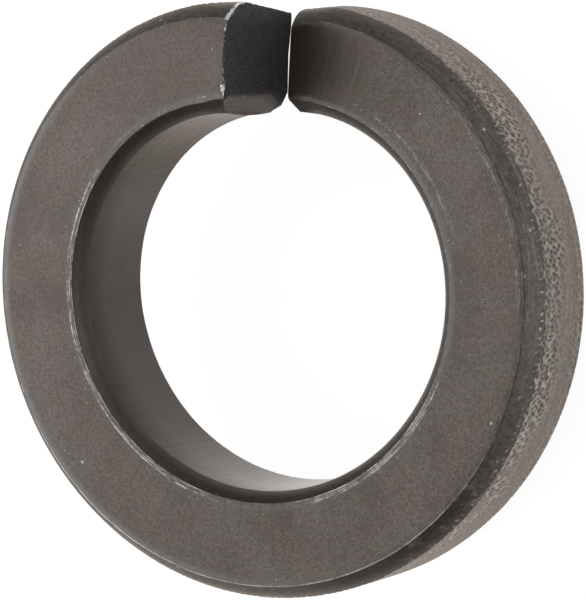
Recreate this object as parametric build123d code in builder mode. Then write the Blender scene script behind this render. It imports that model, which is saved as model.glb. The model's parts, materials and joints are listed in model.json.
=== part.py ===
"""A heavy split spring lock washer: one turn of nearly square steel bar, wound left-handed.

The ring lies flat with its bore axis on Z and its middle at the origin. Its cut faces +X.
"""

import os
from math import degrees

from build123d import *

# Driving dimensions, in millimetres
BORE_RADIUS = 16.1  # clears a bolt of 31.75 mm, 1-1/4 in
BAR_WIDTH = 9.2  # across the bar, from bore to rim
BAR_THICKNESS = 10.4  # along the axis, from face to face
LEAD = 10.5  # axial travel of the bar in one full turn
KERF = 0.2  # width of the cut, seen along the axis

# The bar's bevelled corners, as radial and axial legs. The bore's lower one is the shallowest.
UPPER_BORE_BEVEL = (0.9, 1.6)
LOWER_BORE_BEVEL = (1.5, 0.7)
UPPER_RIM_BEVEL = (1.2, 1.65)
LOWER_RIM_BEVEL = (1.35, 1.6)

# The bar is swept this much too wide, then trimmed to a true bore and rim
TRIM = 0.5

# Worked out from the driving dimensions
RIM_RADIUS = BORE_RADIUS + BAR_WIDTH
MIDDLE_RADIUS = BORE_RADIUS + BAR_WIDTH / 2
COILED_ANGLE = 360 - degrees(KERF / MIDDLE_RADIUS)
COILED_RISE = LEAD * COILED_ANGLE / 360
FACE_HEIGHT = BAR_THICKNESS / 2


def shoulder_height(bevel):
    """Height of a bevel's line where it has run on past the wall by the trim."""
    radial_leg, axial_leg = bevel
    return FACE_HEIGHT - axial_leg * (1 + TRIM / radial_leg)


swept_bore = BORE_RADIUS - TRIM
swept_rim = RIM_RADIUS + TRIM

bar_profile = [
    (swept_rim, shoulder_height(UPPER_RIM_BEVEL)),
    (RIM_RADIUS - UPPER_RIM_BEVEL[0], FACE_HEIGHT),
    (BORE_RADIUS + UPPER_BORE_BEVEL[0], FACE_HEIGHT),
    (swept_bore, shoulder_height(UPPER_BORE_BEVEL)),
    (swept_bore, -shoulder_height(LOWER_BORE_BEVEL)),
    (BORE_RADIUS + LOWER_BORE_BEVEL[0], -FACE_HEIGHT),
    (RIM_RADIUS - LOWER_RIM_BEVEL[0], -FACE_HEIGHT),
    (swept_rim, -shoulder_height(LOWER_RIM_BEVEL)),
]

# The low end of the bar stands on +X. From there the bar climbs clockwise, seen from above.
low_end = Plane.XZ.shift_origin((0, 0, -COILED_RISE / 2))

with BuildPart() as spring_ring:
    with BuildLine():
        Helix(
            pitch=LEAD,
            height=COILED_RISE,
            radius=MIDDLE_RADIUS,
            center=low_end.origin,
            lefthand=True,
        )
    with BuildSketch(low_end):
        with BuildLine():
            Polyline(*bar_profile, close=True)
        make_face()
    sweep(is_frenet=True)
    with BuildSketch(Plane.XY.offset(-LEAD)):
        Circle(RIM_RADIUS)
        Circle(BORE_RADIUS, mode=Mode.SUBTRACT)
    extrude(amount=2 * LEAD, mode=Mode.INTERSECT)

spring_ring.part.label = "spring_ring"
os.makedirs("parts", exist_ok=True)
export_step(spring_ring.part, "parts/spring_ring.step")
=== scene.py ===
import json
from math import cos, pi, radians, sin

import bpy
import numpy as np
from mathutils import Matrix, Vector


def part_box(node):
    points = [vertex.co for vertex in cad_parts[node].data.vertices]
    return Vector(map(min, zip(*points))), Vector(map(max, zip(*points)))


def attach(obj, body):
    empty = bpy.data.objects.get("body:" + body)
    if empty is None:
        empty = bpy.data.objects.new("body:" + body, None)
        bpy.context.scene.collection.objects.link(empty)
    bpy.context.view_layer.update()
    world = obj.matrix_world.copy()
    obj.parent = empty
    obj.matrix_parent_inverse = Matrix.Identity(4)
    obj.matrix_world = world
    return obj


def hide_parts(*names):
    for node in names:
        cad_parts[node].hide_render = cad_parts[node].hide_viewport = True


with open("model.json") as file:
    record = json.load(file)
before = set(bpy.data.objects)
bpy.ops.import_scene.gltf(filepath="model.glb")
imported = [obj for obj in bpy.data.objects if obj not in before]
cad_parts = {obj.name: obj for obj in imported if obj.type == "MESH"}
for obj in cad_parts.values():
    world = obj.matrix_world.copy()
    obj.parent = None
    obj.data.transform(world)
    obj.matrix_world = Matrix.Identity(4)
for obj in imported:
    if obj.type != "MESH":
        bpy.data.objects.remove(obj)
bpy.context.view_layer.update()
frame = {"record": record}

MM = 0.001

# --- The ring's sizes in millimetres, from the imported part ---

low_corner, high_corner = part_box("spring_ring")
RIM = high_corner[1] / MM
BORE = frame["record"]["mounts"][0]["dims"]["r_mm"]
COIL_HEIGHT = (high_corner[2] - low_corner[2]) / MM
THICKNESS_SHARE = 0.498  # the bar's thickness over the height of the whole coil
HALF_BAR = COIL_HEIGHT * THICKNESS_SHARE / 2
RISE = COIL_HEIGHT - 2 * HALF_BAR
MIDDLE = (BORE + RIM) / 2
KERF = 0.2  # width of the cut, along the bar's middle
TURN = 2 * pi - KERF / MIDDLE
BAR_LENGTH = TURN * MIDDLE

# --- The bar's section: bevels as radial and axial legs, in millimetres ---

UPPER_BORE_BEVEL = (0.9, 1.6)
LOWER_BORE_BEVEL = (1.5, 0.7)
UPPER_RIM_BEVEL = (1.2, 1.65)
LOWER_RIM_BEVEL = (1.35, 1.6)
INNER_EDGE = BORE + UPPER_BORE_BEVEL[0]  # the front face runs from this radius
OUTER_EDGE = RIM - UPPER_RIM_BEVEL[0]  # to this one
BORE_EDGE_SHIFT = 0.27  # the bevel round the bore is cut off centre by this much
BORE_EDGE_TURN = radians(70)  # where it is widest, clockwise from the low end
BORE_CROWN = 0.1  # how far a bevel bulges out of its straight line
RIM_CROWN = 0.12
END_CROWN = 0.4  # and the front one by the rim at the two ends, where shearing has rounded it
FACE_EDGE_STEPS = (0.09, 0.2, 0.32, 0.46, 0.75)  # rows near a face's corners, which keep them crisp
FACE_EDGE_DROP = 0.055  # each face falls away by this much towards its two corners
SHOULDER_WIDTH = 0.45  # in a narrow step next to the bore
ROLLED_EDGE_WIDTH = 0.8  # and in a soft curve next to the rim

# --- What shearing does to the bar's ends ---

END_REACH = 3.0  # the corners change over this last stretch
HIGH_END_BEVELS = ((1.2, 1.7), (1.7, 1.7), (1.3, 2.9), (0.3, 0.4))  # in the order of those above
LOW_END_BEVELS = ((1.2, 1.2), (1.5, 0.9), (1.6, 2.3), (1.35, 1.6))
HIGH_END_TAPER = 0.75  # how much lower the rim is at the back of the high end
LOW_END_TAPER = 0.4  # and at the front of the low end
END_BORE_SWELL = 0.22  # how far the bore side bulges
END_SWELL_HEIGHT = 3.6  # above and below the bar's middle
END_SWELL_DEPTH = 0.3  # only what lies this near the bore bulges
CUT_SLANT = 0.3  # how far the cut leans along the bar, from the bore to the rim
CUT_BOW = 0.13  # how much narrower the cut is near the bore and the rim than between them
CUT_BOW_REACH = 2.9
LOW_END_REACH = 0.22  # how far the low end stands forward into the cut
CUT_SHIFT = 0.08  # how far the cut lies from the +X direction
ROLL_OVER_WIDTH = 1.5  # the rolled-over edge along the bore, on the end itself
ROLL_OVER_DEPTH = 0.8
ROLL_OVER_MIDDLE = 0.8  # the height where it is widest
ROLL_OVER_HEIGHT = 5.6  # how far above and below that it runs out
ROLL_OVER_FULLNESS = 1.6  # above 1, it keeps its full width for a stretch round its middle
ROLL_OVER_LEAST = 0.05  # the least share of its width
END_EDGE_RADIUS = 0.03
CAP_INSETS = np.array([0.08, 0.16, 0.35, 0.6, 0.9, 1.2, 1.5, 1.8, 2.3, 2.9, 3.5, 4.1])
END_GRAIN = 0.02  # depth of the end's grain, a sum of ripples
RIPPLE_COUNT = 12
RIPPLE_PITCHES = (0.7, 2.0)
RIPPLE_LIMIT = 5  # the sum is cut off at this

# The high end's burr and bare metal. A pair is where one of them begins and where it is full.
BURR_LENGTH = 0.3
BURR_FROM_RIM = (1.8, 1.1)
BURR_HEIGHTS = (2.2, 3.2)
BURR_INSETS = (0.2, 0)  # in from the end's edge
BURR_RAGGEDNESS = 0.45  # the share of its length that follows the grain
BARE_LINE_WIDTH = (0.12, 0.02)  # bare metal in a line along the front edge
BARE_LINE_DEPTH = (0.15, 0.03)  # below the front face
BARE_LINE_STRENGTH = 0.35  # all along it
BARE_LINE_GAIN = 0.5  # and added to that near the bore and near the rim
BARE_NEAR_BORE = (3.6, 2.6)
BARE_NEAR_RIM = (3.2, 2.4)
BARE_NICK_PLACE = 2.2  # and in a nick this far from the bore
BARE_NICK_REACH = (0.8, 0.2)
BARE_NICK_HEIGHTS = (4.6, 5.0)
BARE_BURR_FROM_RIM = (1.9, 1.3)  # and on the burr
BARE_BURR_HEIGHTS = (2.2, 2.9)
BARE_PATCH_WIDTH = (0.5, 0.05)  # of the nick and the burr, from the end's edge

# --- The rim's worn diamond roll marks ---

MARKS_ROUND = 265  # marks in one turn
STEPS_PER_MARK = 4  # mesh columns, or rows on the rim, per mark
COLUMNS = MARKS_ROUND * STEPS_PER_MARK + 1
RIM_ROWS = 26
BACK_EDGE = RIM_ROWS / STEPS_PER_MARK  # the rim's back edge, in marks from its front edge
MARK_DEPTH = 0.07
GROOVE_SHARE = 0.45  # of a mark's depth. The rest is in the pits where grooves cross.
FRONT_ZONE = (4.6, 1.8)  # where they begin and where they are full, in marks from the front edge
FRONT_ZONE_WANDER = 1.1
BACK_ZONE = 2  # they come back more faintly in this many marks by the back edge
BACK_STRENGTH = 0.45
LEAST_STRENGTH = 0.16
PATCHES = (0.8, 0.35)  # mean and spread of the marks' strength from patch to patch
UNEVENNESS = (0.75, 0.6)  # and of their depth from mark to mark
MARK_OVERHANG = 3  # the marks run out over this many rows of the bevels

# --- Small unevenness all over ---

DENT_COUNTS = (50, 60)  # along the front face's inner and outer corners
DENT_LENGTHS = (0.15, 0.5)
DENT_WIDTHS = (0.12, 0.25)
DENT_DEPTHS = (0.005, 0.03)
DENT_HEIGHT = 0.5  # how far a dent reaches down a bevel
WAVE_DEPTH = 0.02
WAVE_CELLS = (26, 5)  # along the bar and round its section
FINE_WAVE_DEPTH = 0.006
FINE_WAVE_CELLS = (420, 30)

ZONES = ["bore", "bevel", "face", "rim", "end"]
SEED = 20


# --- Small helpers ---

def smooth(value, low, high):
    """Eases from 0 at low to 1 at high, or the other way round when low is above high."""
    share = np.clip((value - low) / (high - low), 0, 1)
    return share * share * (3 - 2 * share)


def wander(shape, cells, seed):
    """Smooth random numbers from -1 to 1 over a grid, with the given count of cells each way."""
    knots = np.random.default_rng(SEED + seed).uniform(-1, 1, (cells[0] + 2, cells[1] + 2))
    place = [np.linspace(0, cells[side], shape[side]) for side in (0, 1)]
    whole = [side.astype(int) for side in place]
    share = [smooth(place[side] - whole[side], 0, 1) for side in (0, 1)]
    across = share[1][None, :]
    along = share[0][:, None]
    first = knots[whole[0]][:, whole[1]] * (1 - across) + knots[whole[0]][:, whole[1] + 1] * across
    second = knots[whole[0] + 1][:, whole[1]] * (1 - across)
    second = second + knots[whole[0] + 1][:, whole[1] + 1] * across
    return first * (1 - along) + second * along


def ripples(radius, height, seed):
    """Smooth random numbers from -1 to 1 over the bar's section, at a scale of about 1 mm."""
    random = np.random.default_rng(SEED + seed)
    total = 0 * radius
    for _ in range(RIPPLE_COUNT):
        direction = random.uniform(0, 2 * pi)
        pitch = random.uniform(*RIPPLE_PITCHES)
        along = radius * cos(direction) + height * sin(direction)
        total = total + np.sin(2 * pi * (along / pitch + random.uniform(0, 1)))
    return np.clip(total / RIPPLE_LIMIT, -1, 1)


# --- The bar's section ---

# Each side of the section between two corners: its zone, its number of rows, and its bulge.
SIDES = [
    ("bore", 8, 0),
    ("bevel", 8, BORE_CROWN),
    ("face", 15, 0),
    ("bevel", 10, RIM_CROWN),
    ("rim", RIM_ROWS, 0),
    ("bevel", 6, RIM_CROWN),
    ("face", 12, 0),
    ("bevel", 5, BORE_CROWN),
]

# Places in that list, and the corner where the front face starts
FRONT_FACE_SIDE = 2
UPPER_RIM_SIDE = 3
BACK_FACE_SIDE = 6
UPPER_BORE_CORNER = 2


def bore_edge_shift(arc):
    """How much wider than usual the bevel round the bore is, at a distance along the bar."""
    return BORE_EDGE_SHIFT * np.cos(arc / MIDDLE - BORE_EDGE_TURN)


def corner_points(bevels, front_taper=0.0, back_taper=0.0):
    """The section's eight corners, as radius and height from the bar's middle."""
    upper_bore, lower_bore, upper_rim, lower_rim = bevels
    front_rim = RIM - front_taper
    back_rim = RIM - back_taper
    face = HALF_BAR - FACE_EDGE_DROP
    return np.array([
        (BORE, lower_bore[1] - HALF_BAR),
        (BORE, HALF_BAR - upper_bore[1]),
        (BORE + upper_bore[0], face),
        (front_rim - upper_rim[0], face),
        (front_rim, HALF_BAR - upper_rim[1]),
        (back_rim, lower_rim[1] - HALF_BAR),
        (back_rim - lower_rim[0], -face),
        (BORE + lower_bore[0], -face),
    ])


def section_corners(arc):
    """The corners at each column. They change towards the bar's two ends."""
    at_rest = corner_points((UPPER_BORE_BEVEL, LOWER_BORE_BEVEL, UPPER_RIM_BEVEL, LOWER_RIM_BEVEL))
    low = smooth(arc, END_REACH, 0)[:, None, None]
    high = smooth(BAR_LENGTH - arc, END_REACH, 0)[:, None, None]
    low_change = corner_points(LOW_END_BEVELS, front_taper=LOW_END_TAPER) - at_rest
    high_change = corner_points(HIGH_END_BEVELS, back_taper=HIGH_END_TAPER) - at_rest
    corners = at_rest + low * low_change + high * high_change
    corners[:, UPPER_BORE_CORNER, 0] += (1 - low - high)[:, 0, 0] * bore_edge_shift(arc)
    return [corners[:, corner] for corner in range(len(at_rest))]


def row_shares(zone, count, length):
    """Shares of a side's rows from 0 up to, but not including, 1. Rows crowd towards its corners."""
    if zone == "rim":
        return np.arange(count) / count
    near = np.array(FACE_EDGE_STEPS if zone == "face" else FACE_EDGE_STEPS[:1]) / length
    middle_count = count - 1 - 2 * len(near)
    middle = np.linspace(near[-1], 1 - near[-1], middle_count + 2)[1:-1]
    return np.concatenate([[0], near, middle, 1 - near[::-1]])


def face_rise(from_bore_side, from_rim_side):
    """How far a face stands above its two corners, at distances from them."""
    step = smooth(from_bore_side, 0, SHOULDER_WIDTH)
    curve = 1 - (1 - np.clip(from_rim_side / ROLLED_EDGE_WIDTH, 0, 1)) ** 2
    return FACE_EDGE_DROP * step * curve


def section_rows(corners, near_ends):
    """Points and outward directions of every row, as columns by rows by (radius, height)."""
    points, outward, zones = [], [], []
    for side, (zone, count, bulge) in enumerate(SIDES):
        if side == UPPER_RIM_SIDE:
            bulge = bulge + (END_CROWN - RIM_CROWN) * near_ends
        start, stop = corners[side], corners[(side + 1) % len(SIDES)]
        run = stop - start
        length = np.linalg.norm(run, axis=-1, keepdims=True)
        normal = np.stack([-run[:, 1], run[:, 0]], axis=-1) / length
        for share in row_shares(zone, count, float(length[COLUMNS // 2, 0])):
            rise = bulge * sin(pi * share)
            if side == FRONT_FACE_SIDE:
                rise = face_rise(length * share, length * (1 - share))
            if side == BACK_FACE_SIDE:
                rise = face_rise(length * (1 - share), length * share)
            points.append(start + run * share + normal * rise)
            outward.append(normal)
        zones += [zone] * count
    return np.stack(points, axis=1), np.stack(outward, axis=1), zones


# --- Marks and dents on its surface ---

def mark_strength(rows, across):
    """How strong the roll marks are at each vertex, from 0 to 1."""
    shape = across.shape
    near_front = smooth(across + FRONT_ZONE_WANDER * wander(shape, (40, 2), seed=8), *FRONT_ZONE)
    near_back = BACK_STRENGTH * smooth(across, BACK_EDGE - BACK_ZONE, BACK_EDGE)
    zone = LEAST_STRENGTH + (1 - LEAST_STRENGTH) * np.maximum(near_front, near_back)
    mean, spread = PATCHES
    patches = mean + spread * wander(shape, (70, 10), seed=1)
    patches = patches + spread * wander(shape, (22, 2), seed=9)
    over_front = smooth(rows, -MARK_OVERHANG, 1)
    over_back = smooth(rows, RIM_ROWS + MARK_OVERHANG, RIM_ROWS - 1)
    return (over_front * over_back)[None, :] * np.clip(zone * patches, 0, 1)


def roll_marks(row_zones):
    """Depth of the rim's marks from 0 to 1, and where each vertex is in the pattern."""
    rows = np.arange(len(row_zones)) - row_zones.index("rim")
    across = rows[None, :] / STEPS_PER_MARK + np.zeros((COLUMNS, 1))
    along = np.arange(COLUMNS)[:, None] / STEPS_PER_MARK + np.zeros((1, len(row_zones)))
    strength = mark_strength(rows, across)
    first_way = np.abs((along + across + 0.5) % 1 - 0.5) * 2
    other_way = np.abs((along - across + 0.5) % 1 - 0.5) * 2
    grooves = 1 - np.minimum(first_way, other_way)
    pits = np.clip((1 - first_way) * (1 - other_way), 0, 1)
    mean, spread = UNEVENNESS
    uneven = mean + spread * wander(along.shape, (COLUMNS // 3, 24), seed=2)
    depth = strength * uneven * (GROOVE_SHARE * grooves + (1 - GROOVE_SHARE) * pits)
    return depth, np.stack([along, across, strength], axis=-1)


def dents(points, arc):
    """Small knocks along the front face's two corners and on the bevels beside them."""
    random = np.random.default_rng(SEED + 3)
    depth = np.zeros(arc.shape)
    for radius, count in zip((INNER_EDGE + BORE_EDGE_SHIFT, OUTER_EDGE), DENT_COUNTS):
        for _ in range(count):
            middle = random.uniform(0, BAR_LENGTH)
            length = random.uniform(*DENT_LENGTHS)
            width = random.uniform(*DENT_WIDTHS)
            deep = random.uniform(*DENT_DEPTHS)
            near = ((arc - middle) / length) ** 2 + ((points[..., 0] - radius) / width) ** 2
            near = near + (np.clip(HALF_BAR - points[..., 1], 0, None) / DENT_HEIGHT) ** 2
            depth += deep * np.exp(-near)
    return depth


def surface_relief(points, arc, row_zones):
    """How far each vertex moves outward in millimetres, and where it is in the roll marks."""
    marks, pattern = roll_marks(row_zones)
    relief = -MARK_DEPTH * marks - dents(points, arc)
    waves = WAVE_DEPTH * wander(arc.shape, WAVE_CELLS, seed=4)
    relief += waves + FINE_WAVE_DEPTH * wander(arc.shape, FINE_WAVE_CELLS, seed=5)
    return relief, pattern


# --- The sheared ends ---

def roll_over_width(height):
    """Width of the end's rolled-over edge, which is widest a little in front of the middle."""
    share = 1 - ((height - ROLL_OVER_MIDDLE) / ROLL_OVER_HEIGHT) ** 2
    return ROLL_OVER_WIDTH * np.clip(ROLL_OVER_FULLNESS * share, ROLL_OVER_LEAST, 1)


def burr(radius, height, inset):
    """From 0 to 1, where shearing has pulled a burr out of the high end's edge by the rim."""
    by_rim = smooth(RIM - radius, *BURR_FROM_RIM)
    return by_rim * smooth(height, *BURR_HEIGHTS) * smooth(inset, *BURR_INSETS)


def end_recess(section, inset, high_end):
    """How far the end face stands back from the cut, in millimetres, at points of the section."""
    radius, height = section[..., 0], section[..., 1]
    width = roll_over_width(height)
    recess = ROLL_OVER_DEPTH * np.clip((BORE + width - radius) / width, 0, 1)
    recess = recess + END_EDGE_RADIUS * np.clip(1 - inset / END_EDGE_RADIUS, 0, 1) ** 2
    grain = ripples(radius, height, 6 + high_end)
    recess = recess + END_GRAIN * grain * np.clip(inset, 0, 1)
    if not high_end:
        return recess - LOW_END_REACH
    bow = np.clip(np.abs(radius - MIDDLE) / CUT_BOW_REACH, 0, 1) ** 2
    ragged = 1 - BURR_RAGGEDNESS + BURR_RAGGEDNESS * grain
    return recess - CUT_BOW * bow - BURR_LENGTH * burr(radius, height, inset) * ragged


def cut_slant(radius):
    """How far the cut lies along the bar at a radius. Both ends lean the same way."""
    return CUT_SLANT * (radius - MIDDLE) / (RIM - BORE) - CUT_SHIFT


def end_cap(outline, high_end):
    """Rings of vertices from the bar's outline in to the middle of its end, and the middle itself."""
    middle = outline.mean(axis=0)
    inner_size = (RIM - BORE) / 2
    rings = [middle + (outline - middle) * (1 - inset / inner_size) for inset in CAP_INSETS]
    points = np.concatenate(rings + [middle[None, :]])
    insets = np.append(np.repeat(CAP_INSETS, len(outline)), inner_size)
    recess = end_recess(points, insets, high_end)
    arc = BAR_LENGTH - recess if high_end else recess
    return points, arc + cut_slant(points[:, 0])


def bare_metal(section, from_edge):
    """From 0 to 1, where the black finish has broken off the high end's front edge."""
    height = section[..., 1]
    from_bore = section[..., 0] - BORE
    from_rim = RIM - section[..., 0]
    line = smooth(from_edge, *BARE_LINE_WIDTH) * smooth(HALF_BAR - height, *BARE_LINE_DEPTH)
    chips = smooth(from_bore, *BARE_NEAR_BORE) + smooth(from_rim, *BARE_NEAR_RIM)
    nick = smooth(np.abs(from_bore - BARE_NICK_PLACE), *BARE_NICK_REACH)
    nick = nick * smooth(height, *BARE_NICK_HEIGHTS)
    bare_burr = smooth(height, *BARE_BURR_HEIGHTS) * smooth(from_rim, *BARE_BURR_FROM_RIM)
    patches = smooth(from_edge, *BARE_PATCH_WIDTH) * (nick + bare_burr)
    return np.clip(line * (BARE_LINE_STRENGTH + BARE_LINE_GAIN * chips) + patches, 0, 1)


# --- The ring's mesh ---

def place_on_coil(section, arc):
    """Turns a section point and its distance along the bar into x, y, z. The bar climbs clockwise."""
    angle = arc / MIDDLE
    x = section[..., 0] * np.cos(angle)
    y = -section[..., 0] * np.sin(angle)
    z = section[..., 1] + RISE * (angle / TURN - 0.5)
    return np.stack([x, y, z], axis=-1) * MM


def band_faces(rows):
    """Quads between neighbouring columns, all along the bar and round its section."""
    column, row = np.meshgrid(np.arange(COLUMNS - 1), np.arange(rows), indexing="ij")
    after = (row + 1) % rows
    here, there = column * rows, (column + 1) * rows
    return np.stack([here + row, there + row, there + after, here + after], axis=-1).reshape(-1, 4)


def cap_faces(outline_start, cap_start, rows, flip):
    """Quads between the rings of an end's vertices, and triangles round its middle."""
    ring_starts = [outline_start] + [cap_start + ring * rows for ring in range(len(CAP_INSETS))]
    middle = cap_start + len(CAP_INSETS) * rows
    faces = []
    for outer, inner in zip(ring_starts, ring_starts[1:]):
        for row in range(rows):
            after = (row + 1) % rows
            faces.append([outer + row, inner + row, inner + after, outer + after])
    for row in range(rows):
        faces.append([ring_starts[-1] + row, middle, ring_starts[-1] + (row + 1) % rows])
    return [face[::-1] for face in faces] if flip else faces


def bar_surface():
    """The bar's sides, as columns by rows: section, distance along it, distance from its high end
    before shearing, place in the roll marks, and the zone of each row."""
    base_arc = np.linspace(0, BAR_LENGTH, COLUMNS)
    to_low_end = smooth(base_arc, END_REACH, 0)[:, None]
    to_high_end = smooth(BAR_LENGTH - base_arc, END_REACH, 0)[:, None]
    near_ends = to_low_end + to_high_end
    section, outward, row_zones = section_rows(section_corners(base_arc), near_ends)
    rows = len(row_zones)
    arc = base_arc[:, None] + np.zeros((1, rows))
    from_high_end = BAR_LENGTH - arc

    swell = END_BORE_SWELL * near_ends
    bulge = swell * np.clip(1 - (section[..., 1] / END_SWELL_HEIGHT) ** 2, 0, 1)
    section[..., 0] -= np.where(section[..., 0] < BORE + END_SWELL_DEPTH, bulge, 0)
    relief, pattern = surface_relief(section, arc, row_zones)
    section = section + outward * relief[..., None]

    low_pull = end_recess(section[0], np.zeros(rows), False)
    high_pull = end_recess(section[-1], np.zeros(rows), True)
    arc = arc + low_pull * to_low_end - high_pull * to_high_end
    arc = arc + cut_slant(section[..., 0]) * near_ends
    return section, arc, from_high_end, pattern, row_zones


def add_attribute(mesh, name, kind, part, values):
    """Stores one value per vertex for the materials to read."""
    attribute = mesh.attributes.new(name, kind, "POINT")
    attribute.data.foreach_set(part, np.asarray(values, dtype=np.float32).ravel())


def build_ring():
    """The sheared, rolled and coiled bar as one closed mesh, with its materials' coordinates."""
    section, arc, from_high_end, pattern, row_zones = bar_surface()
    rows = len(row_zones)
    low_points, low_arc = end_cap(section[0], False)
    high_points, high_arc = end_cap(section[-1], True)
    all_sections = np.concatenate([section.reshape(-1, 2), low_points, high_points])
    all_arcs = np.concatenate([arc.reshape(-1), low_arc, high_arc])
    all_patterns = np.concatenate([pattern.reshape(-1, 3), np.zeros((2 * len(low_points), 3))])
    cap_insets = np.append(np.repeat(CAP_INSETS, rows), CAP_INSETS[-1])
    from_edge = np.concatenate([from_high_end.reshape(-1), cap_insets + BAR_LENGTH, cap_insets])

    low_cap_start = COLUMNS * rows
    high_cap_start = low_cap_start + len(low_points)
    faces = band_faces(rows).tolist()
    faces += cap_faces(0, low_cap_start, rows, flip=True)
    faces += cap_faces((COLUMNS - 1) * rows, high_cap_start, rows, flip=False)
    band_zones = np.tile([ZONES.index(zone) for zone in row_zones], COLUMNS - 1)
    zone_index = np.full(len(faces), ZONES.index("end"), dtype=np.int32)
    zone_index[: len(band_zones)] = band_zones

    mesh = bpy.data.meshes.new("spring_ring_steel")
    mesh.from_pydata(place_on_coil(all_sections, all_arcs).tolist(), [], faces)
    mesh.polygons.foreach_set("material_index", zone_index)
    mesh.shade_smooth()
    bar = np.stack([all_arcs, all_sections[:, 0], all_sections[:, 1]], axis=-1)
    add_attribute(mesh, "bar", "FLOAT_VECTOR", "vector", bar)
    add_attribute(mesh, "marks", "FLOAT_VECTOR", "vector", all_patterns)
    add_attribute(mesh, "bare", "FLOAT", "value", bare_metal(all_sections, from_edge))
    mesh.update()
    ring = bpy.data.objects.new("spring_ring_steel", mesh)
    bpy.context.scene.collection.objects.link(ring)
    return ring


# --- Colours and places of the materials ---

# Metal reflectances of the oxide's shades, of bare steel and of a fresh break
OXIDE_DARK = (0.122, 0.103, 0.093)
OXIDE_LIGHT = (0.156, 0.135, 0.124)
OXIDE_COOL = (0.150, 0.148, 0.146)
# A brown oxide tone. Lightened, it is painted light on the face near the low end
OXIDE_BROWN_AND_PAINTED_LIGHT = (0.160, 0.133, 0.116)
OXIDE_BROWNING = (0.96, 0.94, 0.84)  # how the finish has turned browner in places
BEVEL_GREY = (0.160, 0.145, 0.134)
BEVEL_DARK = (0.055, 0.045, 0.046)
END_BLACK = (0.085, 0.083, 0.084)
RIM_BROWN = (0.248, 0.218, 0.198)
RIM_BRIGHT = (0.55, 0.515, 0.475)
BARE_STEEL = (0.66, 0.65, 0.62)
FRESH_BREAK = (0.92, 0.94, 0.92)
BLACK = (0, 0, 0)
LOW_ANGLE_TINT = (1.0, 0.92, 0.86, 1)  # colour of the steel's shine at a low angle

# The bore keeps a thin film of oil, which shines at a low angle
OIL_FILM = 0.45
OIL_INDEX = 1.3
OIL_ROUGHNESS = 0.2
OIL_POOL = 0.35  # how much more of it there is in one place

# Places on the coil, as a share of a turn from the low end, and half the width of each
INNER_WEAR_PLACES = ((0.65, 0.16), (0.38, 0.1), (0.79, 0.1))
# Where the outer corner's worn line is brightest, which is partly a painted highlight
OUTER_WEAR_AND_HIGHLIGHT_PLACE = (0.5, 0.24)
FACE_SCUFF_PLACE = (0.18, 0.12)
FACE_RUB_PLACE = (0.13, 0.1)
ROLLED_EDGE_PLACE = (0.68, 0.3)
BEVEL_SCUFF_PLACE = (0.17, 0.14)
# Painted light on the bevel by the rim
BEVEL_LIGHT_PLACE = (0.52, 0.15)
BEVEL_DARK_PLACE = (0.4, 0.08)
BEVEL_BLOTCH_PLACE = (0.37, 0.07)
BEVEL_DASH_PLACE = (0.25, 0.2)
RIM_POLISH_PLACE = (0.39, 0.13)
# Painted shade on the bore near the high end
BORE_SHADE_PLACE = (0.95, 0.14)
BORE_POOL_PLACE = (0.5, 0.13)

# Worn lines round the face, by radius and half width in millimetres. The line at the outer corner is
# worn and also a painted highlight.
INNER_WEAR_LINES = (
    (INNER_EDGE + 0.07, 0.08),
    (INNER_EDGE + SHOULDER_WIDTH, 0.12),
    (INNER_EDGE + 0.26, 0.06),
)
FACE_RUB_LINES = ((INNER_EDGE + 1.1, 0.3),)
OUTER_WEAR_AND_HIGHLIGHT_LINES = ((OUTER_EDGE - 0.02, 0.11),)
FACE_SCUFF_LINES = ((OUTER_EDGE - 0.5, 0.3), (OUTER_EDGE - 0.05, 0.15))

LINE_DRIFT = 0.14  # how much the worn lines' radius changes along the bar
DASH_ROW = 0.62  # where the roll marks' front ends show on the bevel, in marks from the rim


def shade(colour, factor):
    """The same colour, lighter or darker."""
    return tuple(factor * channel for channel in colour)


def tinted(colour, tint):
    """A colour multiplied by another, channel by channel."""
    return tuple(channel * share for channel, share in zip(colour, tint))


# --- Node trees ---

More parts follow.
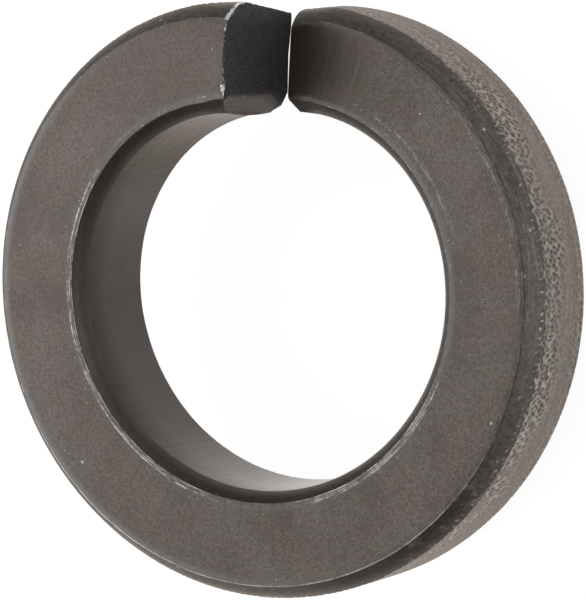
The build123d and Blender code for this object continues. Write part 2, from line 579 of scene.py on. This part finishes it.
class Shader:
    """One material's node tree, with short calls for the nodes that the materials use."""

    def __init__(self, name):
        self.material = bpy.data.materials.new(name)
        self.material.use_nodes = True
        self.tree = self.material.node_tree
        self.surface = self.tree.nodes["Principled BSDF"]

    def plug(self, socket, value):
        if isinstance(value, bpy.types.NodeSocket):
            self.tree.links.new(value, socket)
        else:
            socket.default_value = value

    def math(self, operation, first, second=0.0):
        node = self.tree.nodes.new("ShaderNodeMath")
        node.operation = operation
        self.plug(node.inputs[0], first)
        self.plug(node.inputs[1], second)
        return node.outputs[0]

    def plus(self, first, second):
        return self.math("ADD", first, second)

    def minus(self, first, second):
        return self.math("SUBTRACT", first, second)

    def times(self, first, *others):
        for other in others:
            first = self.math("MULTIPLY", first, other)
        return first

    def larger(self, first, *others):
        for other in others:
            first = self.math("MAXIMUM", first, other)
        return first

    def distance(self, first, second):
        return self.math("ABSOLUTE", self.minus(first, second))

    def ease(self, value, low, high, start=0.0, stop=1.0):
        """Eases from start, where the value is low, to stop, where it is high."""
        node = self.tree.nodes.new("ShaderNodeMapRange")
        node.interpolation_type = "SMOOTHSTEP"
        self.plug(node.inputs["Value"], value)
        node.inputs["From Min"].default_value = low
        node.inputs["From Max"].default_value = high
        node.inputs["To Min"].default_value = start
        node.inputs["To Max"].default_value = stop
        return node.outputs["Result"]

    def blend(self, share, first, second):
        node = self.tree.nodes.new("ShaderNodeMix")
        node.data_type = "RGBA"
        self.plug(node.inputs[0], share)
        self.plug(node.inputs[6], (*first, 1) if isinstance(first, tuple) else first)
        self.plug(node.inputs[7], (*second, 1) if isinstance(second, tuple) else second)
        return node.outputs[2]

    def cover(self, colour, coat, *shares):
        """Lays a coat over a colour, as strongly as the product of the shares."""
        return self.blend(self.times(*shares), colour, coat)

    def attribute(self, name, output="Vector"):
        node = self.tree.nodes.new("ShaderNodeAttribute")
        node.attribute_name = name
        return node.outputs[output]

    def parts(self, vector):
        node = self.tree.nodes.new("ShaderNodeSeparateXYZ")
        self.plug(node.inputs[0], vector)
        return node.outputs

    def bump(self, height, depth, under=None):
        """Relief of the given depth in millimetres, on top of another bump if one is given."""
        node = self.tree.nodes.new("ShaderNodeBump")
        node.inputs["Strength"].default_value = 1
        node.inputs["Distance"].default_value = depth * MM
        self.plug(node.inputs["Height"], height)
        if under is not None:
            self.plug(node.inputs["Normal"], under)
        return node.outputs["Normal"]


class SteelShader(Shader):
    """A finish of the ring, laid out by the bar's own coordinates in millimetres."""

    def __init__(self, name):
        super().__init__(name)
        self.bar = self.attribute("bar")
        self.along, self.radius, self.height = self.parts(self.bar)

    def stretched(self, scale):
        """The bar's coordinates times a factor each way, which stretches a texture into streaks."""
        node = self.tree.nodes.new("ShaderNodeVectorMath")
        node.operation = "MULTIPLY"
        self.plug(node.inputs[0], self.bar)
        node.inputs[1].default_value = scale
        return node.outputs[0]

    def noise(self, scale=1.0, detail=2.0, roughness=0.5, stretch=None):
        node = self.tree.nodes.new("ShaderNodeTexNoise")
        self.plug(node.inputs["Vector"], self.stretched(stretch) if stretch else self.bar)
        node.inputs["Scale"].default_value = scale
        node.inputs["Detail"].default_value = detail
        node.inputs["Roughness"].default_value = roughness
        return node.outputs["Fac"]

    def wobble(self, reach, scale, detail=2.0, roughness=0.5):
        """Noise about 0, with the given range from its lowest to its highest value."""
        return self.times(self.minus(self.noise(scale, detail, roughness), 0.5), reach)

    def cells(self, scale, stretch=None):
        """Distance to the nearest of scattered points, and a random number for that point."""
        node = self.tree.nodes.new("ShaderNodeTexVoronoi")
        self.plug(node.inputs["Vector"], self.stretched(stretch) if stretch else self.bar)
        node.inputs["Scale"].default_value = scale
        return node.outputs["Distance"], self.parts(node.outputs["Color"])[0]

    def near(self, place):
        """Eases up to 1 round a place on the coil."""
        turn, half_width = place
        reach = half_width * BAR_LENGTH
        return self.ease(self.distance(self.along, turn * BAR_LENGTH), reach, 0.4 * reach)

    def by_place(self, place, away, there):
        """Eases from one value away from a place on the coil to another value there."""
        return self.ease(self.near(place), 0.0, 1.0, away, there)

    def oxide(self, dark, light):
        """The black oxide's mottled colour and its fine grain, from broad clouds down to specks."""
        clouds = self.noise(scale=0.16, detail=4.0, roughness=0.6)
        grain = self.noise(scale=5.5, detail=3.0, roughness=0.75)
        colour = self.blend(self.ease(clouds, 0.3, 0.7), dark, light)
        brown_clouds = self.noise(scale=0.3, detail=3.0, roughness=0.65)
        browned = self.ease(brown_clouds, 0.45, 0.65, stop=0.6)
        colour = self.cover(colour, tinted(light, OXIDE_BROWNING), browned)
        grain_share = self.ease(grain, 0.34, 0.66, stop=0.55)
        return self.cover(colour, shade(dark, 0.6), grain_share), grain

    def thread_lines(self, radius, lines, threshold):
        """Thin bright threads at the given radii and half widths, broken up along the bar."""
        drift = self.times(self.noise(scale=0.35), LINE_DRIFT)
        steady_radius = self.minus(radius, drift)
        threads = self.noise(detail=4.0, roughness=0.7, stretch=(0.45, 7.0, 1.0))
        breaks = self.noise(scale=2.2, detail=4.0, roughness=0.75)
        wear = self.plus(threads, self.times(breaks, 0.5))
        thread_share = self.ease(self.minus(wear, threshold), 0.0, 0.2)
        worn = 0.0
        for line, half_width in lines:
            from_line = self.distance(steady_radius, line - LINE_DRIFT / 2)
            on_line = self.ease(from_line, half_width, 0.0)
            worn = self.larger(worn, self.times(on_line, thread_share))
        return worn

    def ragged_bare(self):
        """The broken-off patches with ragged outlines."""
        bare = self.attribute("bare", "Fac")
        ragged = self.plus(bare, self.wobble(3.4, scale=3.4, detail=4.0, roughness=0.8))
        return self.times(self.ease(ragged, 0.55, 0.8), self.ease(bare, 0.02, 0.2))

    def mark_distance(self, along, across):
        """Distance from the nearest pit of the worn diamond pattern, no longer quite regular."""
        place = self.tree.nodes.new("ShaderNodeCombineXYZ")
        self.plug(place.inputs[0], self.plus(self.plus(along, across), 0.5))
        self.plug(place.inputs[1], self.plus(self.minus(along, across), 0.5))
        pits = self.tree.nodes.new("ShaderNodeTexVoronoi")
        pits.voronoi_dimensions = "2D"
        pits.inputs["Scale"].default_value = 1
        pits.inputs["Randomness"].default_value = 0.7
        self.plug(pits.inputs["Vector"], place.outputs[0])
        return pits.outputs["Distance"]

    def finish(self, colour, roughness, normal):
        """Joins the metal's colour, roughness and relief to its surface."""
        self.plug(self.surface.inputs["Base Color"], colour)
        self.plug(self.surface.inputs["Roughness"], roughness)
        self.plug(self.surface.inputs["Metallic"], 1.0)
        self.plug(self.surface.inputs["Specular Tint"], LOW_ANGLE_TINT)
        self.plug(self.surface.inputs["Normal"], normal)
        return self.material


# --- The front and back faces ---

def true_radius(shader):
    """The radius less the shift of the bevel round the bore, which is cut off centre."""
    turned_by = shader.minus(shader.math("DIVIDE", shader.along, MIDDLE), BORE_EDGE_TURN)
    shift = shader.times(shader.math("COSINE", turned_by), BORE_EDGE_SHIFT)
    return shader.minus(shader.radius, shift)


def face_tints(shader, radius, colour):
    """The face's colour near the bar's two ends, with painted light near the low end, and along its
    own two corners.
    """
    # Painted light: the face is a paler brown near the low end, lifting the shade that the high end
    # casts there; the brown is partly the face's own tone.
    low_end_tint_and_painted_light = shader.ease(shader.along, 11.0, 2.0, stop=0.85)
    colour = shader.cover(colour, shade(OXIDE_BROWN_AND_PAINTED_LIGHT, 1.5), low_end_tint_and_painted_light)
    by_high_end = shader.ease(shader.along, BAR_LENGTH - 20.0, BAR_LENGTH - 8.0, stop=0.35)
    colour = shader.cover(colour, shade(OXIDE_DARK, 0.75), by_high_end)
    shoulder = shader.ease(radius, INNER_EDGE + 1.0, INNER_EDGE + 0.3)
    colour = shader.cover(colour, shade(OXIDE_COOL, 0.88), shoulder, 0.65)
    rolled_edge = shader.ease(shader.radius, OUTER_EDGE - 0.9, OUTER_EDGE - 0.2)
    here = shader.near(ROLLED_EDGE_PLACE)
    return shader.cover(colour, shade(OXIDE_COOL, 1.1), rolled_edge, here, 0.75)


def worn_and_highlight_lines(shader, radius):
    """Worn lines along the face's two corners, and fainter ones beside them in two places. The outer
    corner's line is partly a painted highlight, brightest round half a turn.
    """
    most_worn = shader.larger(*[shader.near(place) for place in INNER_WEAR_PLACES])
    inner_threshold = shader.ease(most_worn, 0.0, 1.0, start=0.82, stop=0.66)
    inner = shader.thread_lines(radius, INNER_WEAR_LINES, inner_threshold)
    rub_threshold = shader.by_place(FACE_RUB_PLACE, away=1.1, there=0.72)
    rub = shader.thread_lines(radius, FACE_RUB_LINES, rub_threshold)
    # Painted highlight: the outer corner's worn line is brighter round half a turn.
    outer_highlight_threshold = shader.by_place(OUTER_WEAR_AND_HIGHLIGHT_PLACE, away=0.80, there=0.54)
    outer = shader.thread_lines(shader.radius, OUTER_WEAR_AND_HIGHLIGHT_LINES, outer_highlight_threshold)
    scuff_threshold = shader.by_place(FACE_SCUFF_PLACE, away=1.1, there=0.72)
    scuff = shader.thread_lines(shader.radius, FACE_SCUFF_LINES, scuff_threshold)
    return shader.larger(inner, outer, shader.times(rub, 0.4), shader.times(scuff, 0.4))


def dust_specks(shader, radius):
    """Pale specks, thickest near the bore."""
    spot, chance = shader.cells(2.2)
    rarity = shader.ease(radius, INNER_EDGE + 2.4, INNER_EDGE + 0.6, start=0.975, stop=0.87)
    return shader.times(shader.ease(spot, 0.2, 0.08), shader.math("GREATER_THAN", chance, rarity))


def face_nicks(shader):
    """A few larger nicks down to the steel."""
    spot, chance = shader.cells(0.5)
    inside = shader.math("LESS_THAN", spot, shader.times(chance, 0.06))
    return shader.times(inside, shader.ease(chance, 0.84, 0.88))


def face_material():
    """Ground and blackened face: faint concentric marks, worn lines at its corners, small nicks."""
    shader = SteelShader("blackened_face")
    radius = true_radius(shader)
    colour, grain = shader.oxide(OXIDE_DARK, OXIDE_LIGHT)
    turned = shader.noise(detail=3.0, roughness=0.6, stretch=(0.1, 4.0, 1.0))
    colour = shader.cover(colour, OXIDE_COOL, shader.ease(turned, 0.5, 0.8, stop=0.3))
    colour = face_tints(shader, radius, colour)
    # The lines include the outer corner's painted highlight.
    worn = shader.larger(worn_and_highlight_lines(shader, radius), shader.times(dust_specks(shader, radius), 0.4))
    bright = shader.larger(shader.times(worn, 0.8), shader.times(face_nicks(shader), 0.6))
    colour = shader.cover(colour, BARE_STEEL, bright)
    colour = shader.cover(colour, FRESH_BREAK, shader.ragged_bare())
    roughness = shader.ease(grain, 0.25, 0.75, start=0.36, stop=0.5)
    normal = shader.bump(grain, 0.016)
    return shader.finish(colour, roughness, shader.bump(turned, 0.01, normal))


# --- The bevels ---

def outer_patches(shader, colour, scuffs, outer):
    """Paler and darker patches on the bevels by the rim, with painted light round half a turn."""
    scuff_share = shader.ease(scuffs, 0.5, 0.7, stop=0.7)
    scuffed = shader.by_place(BEVEL_SCUFF_PLACE, away=0.4, there=1.0)
    colour = shader.cover(colour, shade(OXIDE_COOL, 1.8), scuff_share, outer, scuffed)
    # Painted light: the bevel by the rim is paler round half a turn, standing in for light that the
    # lamps don't give there.
    bevel_painted_light = shader.near(BEVEL_LIGHT_PLACE)
    colour = shader.cover(colour, shade(BEVEL_GREY, 1.9), bevel_painted_light, outer, 0.6)
    mottle = shader.noise(scale=2.1, detail=4.0, roughness=0.8)
    pale_share = shader.ease(mottle, 0.5, 0.62, stop=0.3)
    colour = shader.cover(colour, shade(BEVEL_GREY, 1.6), pale_share, outer)
    dark_share = shader.ease(mottle, 0.47, 0.36, stop=0.35)
    colour = shader.cover(colour, shade(BEVEL_GREY, 0.3), dark_share, outer)
    darkened = shader.near(BEVEL_DARK_PLACE)
    colour = shader.cover(colour, BEVEL_DARK, darkened, outer, 0.5)
    blotches = shader.ease(shader.noise(scale=1.1, detail=4.0, roughness=0.8), 0.54, 0.64)
    blotched = shader.near(BEVEL_BLOTCH_PLACE)
    return shader.cover(colour, shade(OXIDE_COOL, 2.0), blotches, blotched, outer, 0.6)


def mark_crests(shader, along, across, strength):
    """Bright crests of the roll marks that run out over the bevel's corner."""
    distance = shader.mark_distance(along, across)
    patchy = shader.ease(shader.noise(scale=0.6, roughness=0.6), 0.45, 0.6)
    return shader.times(shader.ease(distance, 0.42, 0.6), shader.ease(strength, 0.1, 0.45), patchy)


def mark_dashes(shader, along, across):
    """A row of bright dashes, where the roll marks' front ends show."""
    bend = shader.times(shader.noise(scale=0.9, detail=3.0, roughness=0.7), 1.6)
    bent = shader.plus(shader.plus(along, bend), shader.times(across, 0.3))
    dash = shader.ease(shader.distance(shader.math("FRACT", bent), 0.5), 0.2, 0.08)
    from_row = shader.plus(shader.plus(across, DASH_ROW), shader.wobble(0.7, scale=1.7))
    row = shader.ease(shader.math("ABSOLUTE", from_row), 0.26, 0.08)
    wear = shader.ease(shader.noise(scale=1.3, detail=3.0, roughness=0.8), 0.44, 0.66)
    return shader.times(dash, row, wear, shader.near(BEVEL_DASH_PLACE))


def bevel_material():
    """Smoother, greyer corners, with bright specks where knocks have reached the steel."""
    shader = SteelShader("blackened_bevel")
    colour, grain = shader.oxide(shade(BEVEL_GREY, 0.78), shade(BEVEL_GREY, 0.95))
    outer = shader.ease(shader.radius, MIDDLE, MIDDLE + 1)
    colour = shader.blend(outer, shader.cover(colour, BLACK, 0.25), colour)
    scuffs = shader.noise(detail=4.0, roughness=0.75, stretch=(0.3, 4.0, 4.0))
    colour = outer_patches(shader, colour, scuffs, outer)

    spot, chance = shader.cells(1.3)
    specks = shader.times(shader.ease(spot, 0.24, 0.08), shader.ease(chance, 0.76, 0.86), outer)
    along, across, strength = shader.parts(shader.attribute("marks"))
    crests = mark_crests(shader, along, across, strength)
    marks = shader.larger(crests, mark_dashes(shader, along, across))
    bright = shader.larger(shader.times(specks, 0.7), shader.times(marks, 0.6))
    colour = shader.cover(colour, BARE_STEEL, bright)
    colour = shader.cover(colour, FRESH_BREAK, shader.ragged_bare())
    roughness = shader.ease(scuffs, 0.3, 0.7, start=0.36, stop=0.5)
    normal = shader.bump(grain, 0.034)
    return shader.finish(colour, roughness, shader.bump(scuffs, 0.014, normal))


# --- The rim ---

def rim_marks(shader):
    """The roll marks' pits, and the ridges between them."""
    along, across, strength = shader.parts(shader.attribute("marks"))
    bend = shader.wobble(1.6, scale=1.1, roughness=0.6)
    distance = shader.mark_distance(shader.plus(along, bend), across)
    pits = shader.times(shader.ease(distance, 0.42, 0.12), strength)
    ridges = shader.times(shader.ease(distance, 0.38, 0.6), strength)
    from_worm = shader.distance(shader.noise(scale=1.9, roughness=0.6), 0.5)
    worms = shader.times(shader.ease(from_worm, 0.06, 0.0), strength)
    return pits, shader.larger(ridges, worms)


def rim_slits(shader):
    """A few short dark slits along the bar."""
    spot, chance = shader.cells(0.55, stretch=(0.35, 1.0, 1.6))
    return shader.times(shader.ease(spot, 0.12, 0.05), shader.ease(chance, 0.9, 0.93))


def rim_material():
    """Worn diamond roll marks: dark in the pits, bright on the ridges, streaked further back."""
    shader = SteelShader("rolled_rim")
    colour, grain = shader.oxide(RIM_BROWN, shade(RIM_BROWN, 1.15))
    streaks = shader.noise(detail=4.0, roughness=0.65, stretch=(0.07, 1.0, 1.5))
    streak_share = shader.ease(streaks, 0.42, 0.62, stop=0.65)
    colour = shader.cover(colour, shade(RIM_BROWN, 0.6), streak_share)
    mottle = shader.noise(scale=1.5, detail=4.0, roughness=0.75)
    mottle_share = shader.ease(mottle, 0.42, 0.66, stop=0.5)
    colour = shader.cover(colour, shade(RIM_BROWN, 0.55), mottle_share)

    pits, ridges = rim_marks(shader)
    colour = shader.cover(colour, shade(RIM_BROWN, 0.12), pits, 0.85)
    rubbing = shader.noise(scale=1.3, detail=3.0, roughness=0.7)
    polish = shader.ease(rubbing, 0.36, 0.58, start=0.2)
    polish = shader.times(polish, shader.by_place(RIM_POLISH_PLACE, away=0.55, there=0.95))
    colour = shader.cover(colour, RIM_BRIGHT, ridges, polish)
    colour = shader.cover(colour, shade(RIM_BROWN, 0.1), rim_slits(shader), 0.8)

    relief = shader.minus(shader.times(ridges, 0.6), pits)
    roughness = shader.ease(grain, 0.25, 0.75, start=0.42, stop=0.58)
    normal = shader.bump(grain, 0.02)
    return shader.finish(colour, roughness, shader.bump(relief, 0.1, normal))


# --- The bore ---

def add_oil(shader, front, bore_painted_shade):
    """A film of oil: thinner in front, none in the middle of the bore's painted shade near the high
    end, and more where it has pooled.
    """
    film = shader.minus(OIL_FILM, shader.times(front, 0.7 * OIL_FILM))
    film = shader.times(film, shader.minus(1.0, bore_painted_shade))
    film = shader.plus(film, shader.times(shader.near(BORE_POOL_PLACE), OIL_POOL))
    shader.plug(shader.surface.inputs["Coat Weight"], film)
    shader.plug(shader.surface.inputs["Coat IOR"], OIL_INDEX)
    shader.plug(shader.surface.inputs["Coat Roughness"], OIL_ROUGHNESS)


def bore_material():
    """The drawn inside wall: fine streaks along the bar, a soft grain, a film of oil, and painted
    shade near the high end.
    """
    shader = SteelShader("drawn_bore")
    colour, grain = shader.oxide(shade(OXIDE_DARK, 0.44), shade(OXIDE_LIGHT, 0.44))
    streaks = shader.noise(detail=4.0, roughness=0.65, stretch=(0.15, 1.0, 3.0))
    colour = shader.cover(colour, OXIDE_DARK, shader.ease(streaks, 0.45, 0.8, stop=0.2))
    front_corner = HALF_BAR - UPPER_BORE_BEVEL[1]
    front = shader.ease(shader.height, front_corner - 3.5, front_corner)
    colour = shader.cover(colour, shade(OXIDE_DARK, 0.25), front, 0.7)
    # Painted shade: the bore is darkened near the high end, and its oil shine is taken away there,
    # standing in for the shade where the coil blocks the floor's light.
    bore_painted_shade = shader.near(BORE_SHADE_PLACE)
    colour = shader.cover(colour, BLACK, bore_painted_shade, 0.5)
    add_oil(shader, front, bore_painted_shade)
    roughness = shader.ease(streaks, 0.3, 0.7, start=0.3, stop=0.38)
    normal = shader.bump(grain, 0.016)
    return shader.finish(colour, roughness, shader.bump(streaks, 0.008, normal))


# --- The sheared ends' finish ---

def rolled_over(shader):
    """From 0 to 1, on the end's rolled-over edge along the bore, which has an uneven border."""
    from_middle = shader.minus(shader.height, ROLL_OVER_MIDDLE)
    centred = shader.math("DIVIDE", from_middle, ROLL_OVER_HEIGHT)
    falling = shader.minus(1.0, shader.times(centred, centred))
    share = shader.math("MINIMUM", shader.times(falling, ROLL_OVER_FULLNESS), 1.0)
    border = shader.plus(shader.times(share, ROLL_OVER_WIDTH), BORE)
    border = shader.plus(border, shader.wobble(0.9, scale=0.9, detail=4.0, roughness=0.7))
    return shader.ease(shader.minus(shader.radius, border), 0.1, -0.1)


def end_material():
    """Sheared end: matt, near black and grainy, with a paler rolled-over edge along the bore."""
    shader = SteelShader("sheared_end")
    colour, grain = shader.oxide(END_BLACK, shade(END_BLACK, 1.3))
    sparkle = shader.ease(shader.noise(scale=7.0, detail=3.0, roughness=0.7), 0.56, 0.72)
    colour = shader.cover(colour, shade(OXIDE_COOL, 1.9), sparkle, 0.75)
    rolled = rolled_over(shader)
    colour = shader.cover(colour, shade(OXIDE_LIGHT, 0.85), rolled)
    colour = shader.cover(colour, FRESH_BREAK, shader.ragged_bare())
    crystal = shader.noise(scale=3.2, detail=4.0, roughness=0.75)
    matt = shader.ease(crystal, 0.3, 0.7, start=0.5, stop=0.7)
    roughness = shader.minus(matt, shader.times(rolled, 0.12))
    normal = shader.bump(crystal, 0.04)
    return shader.finish(colour, roughness, shader.bump(grain, 0.03, normal))


# --- Floor, light and camera ---

FLOOR_SIZE = 6.0
FLOOR_TINT = (0.30, 0.30, 0.30)
FLOOR_ROUGHNESS = 0.9
FLOOR_GLOW = 0.9
LOW_ANGLE_GLOW = 0.33  # the share of that which the steel sees at a low angle
LOW_ANGLES = (0.25, 0.7)  # where that starts and is full, from 0 facing the floor to 1 along it
ROOM_GLOW = (0.22, 0.45)  # the dim room's brightness, and its brightness towards -Y and +Y
ROOM_SIDES_START = 0.2
SOFTBOX_DISTANCE = 0.9

CAMERA_DISTANCE = 0.2399
CAMERA_TILT = radians(31.18)  # away from the bore's axis
CAMERA_SIDE = radians(-78.86)  # direction of that tilt, round the axis from +X
CAMERA_ROLL = radians(-1.86)
CAMERA_AIM = Vector((0.00004, -0.0009, 0))
CAMERA_LENS = 167.9
SENSOR_WIDTH = 36.0


def floor_material():
    """A pale glowing finish. Seen at a low angle by the steel, it looks darker."""
    shader = Shader("pale_floor")
    facing = shader.tree.nodes.new("ShaderNodeLayerWeight")
    facing.inputs["Blend"].default_value = 0.5
    path = shader.tree.nodes.new("ShaderNodeLightPath")
    by_angle = shader.ease(facing.outputs["Facing"], *LOW_ANGLES, start=1.0, stop=LOW_ANGLE_GLOW)
    seen = shader.larger(path.outputs["Is Camera Ray"], by_angle)
    shader.plug(shader.surface.inputs["Base Color"], (*FLOOR_TINT, 1))
    shader.plug(shader.surface.inputs["Roughness"], FLOOR_ROUGHNESS)
    shader.plug(shader.surface.inputs["Specular IOR Level"], 0.0)
    shader.plug(shader.surface.inputs["Emission Color"], (1, 1, 1, 1))
    shader.plug(shader.surface.inputs["Emission Strength"], shader.times(seen, FLOOR_GLOW))
    return shader.material


def build_floor():
    """A lit table just under the ring."""
    half = FLOOR_SIZE / 2
    level = low_corner[2]
    mesh = bpy.data.meshes.new("floor")
    corners = [(x, y, level) for x, y in ((-half, -half), (half, -half), (half, half), (-half, half))]
    mesh.from_pydata(corners, [], [(0, 1, 2, 3)])
    mesh.materials.append(floor_material())
    floor = bpy.data.objects.new("floor", mesh)
    bpy.context.scene.collection.objects.link(floor)


def build_world():
    """A white backdrop for the camera. The steel sees a dim room with paler sides."""
    world = bpy.data.worlds.new("studio")
    world.use_nodes = True
    bpy.context.scene.world = world
    nodes, links = world.node_tree.nodes, world.node_tree.links
    background = nodes["Background"]
    path = nodes.new("ShaderNodeLightPath")
    place = nodes.new("ShaderNodeTexCoord")
    parts = nodes.new("ShaderNodeSeparateXYZ")
    links.new(place.outputs["Generated"], parts.inputs[0])
    sides = nodes.new("ShaderNodeMapRange")
    sides.inputs["From Min"].default_value = ROOM_SIDES_START
    sides.inputs["To Min"].default_value = ROOM_GLOW[0]
    sides.inputs["To Max"].default_value = ROOM_GLOW[1]
    size = nodes.new("ShaderNodeMath")
    size.operation = "ABSOLUTE"
    links.new(parts.outputs[1], size.inputs[0])
    links.new(size.outputs[0], sides.inputs["Value"])
    strength = nodes.new("ShaderNodeMath")
    strength.operation = "MAXIMUM"
    links.new(path.outputs["Is Camera Ray"], strength.inputs[0])
    links.new(sides.outputs["Result"], strength.inputs[1])
    background.inputs["Color"].default_value = (1, 1, 1, 1)
    links.new(strength.outputs[0], background.inputs["Strength"])


def build_softbox(name, toward, width, radiance):
    """A large square light in one direction from the ring, shining back at it."""
    light = bpy.data.lights.new(name, "AREA")
    light.shape = "SQUARE"
    light.size = width
    light.energy = radiance * pi * width * width
    lamp = bpy.data.objects.new(name, light)
    lamp.location = Vector(toward).normalized() * SOFTBOX_DISTANCE
    lamp.rotation_euler = Vector(toward).to_track_quat("Z", "Y").to_euler()
    lamp.visible_camera = False
    bpy.context.scene.collection.objects.link(lamp)


def build_camera():
    """The camera at the photograph's viewing angle, with +X at the top of the picture."""
    flat = Vector((cos(CAMERA_SIDE), sin(CAMERA_SIDE), 0)) * sin(CAMERA_TILT)
    back = flat + Vector((0, 0, cos(CAMERA_TILT)))
    level_up = (Vector((1, 0, 0)) - back * back.x).normalized()
    level_right = level_up.cross(back)
    up = level_up * cos(CAMERA_ROLL) + level_right * sin(CAMERA_ROLL)
    right = up.cross(back)
    camera_data = bpy.data.cameras.new("camera")
    camera_data.lens = CAMERA_LENS
    camera_data.sensor_width = SENSOR_WIDTH
    camera_data.clip_start = 0.01
    camera_data.clip_end = 20
    camera = bpy.data.objects.new("camera", camera_data)
    turn = Matrix((right, up, back)).transposed().to_4x4()
    camera.matrix_world = Matrix.Translation(CAMERA_AIM + back * CAMERA_DISTANCE) @ turn
    bpy.context.scene.collection.objects.link(camera)
    bpy.context.scene.camera = camera


# --- The scene ---

ring = build_ring()
for make in (bore_material, bevel_material, face_material, rim_material, end_material):
    ring.data.materials.append(make())
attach(ring, "root")
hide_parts("spring_ring")

build_floor()
build_world()
build_softbox("key_softbox", toward=(-0.12, 0.57, 0.82), width=1.0, radiance=1.09)
build_softbox("left_softbox", toward=(-0.3, 0.95, 0.1), width=1.1, radiance=0.95)
build_softbox("right_softbox", toward=(0.1, -1.0, 0.15), width=0.7, radiance=1.25)
build_softbox("upper_softbox", toward=(0.85, -0.35, 0.45), width=0.6, radiance=0.7)
build_camera()
bpy.context.scene.view_settings.view_transform = "Standard"
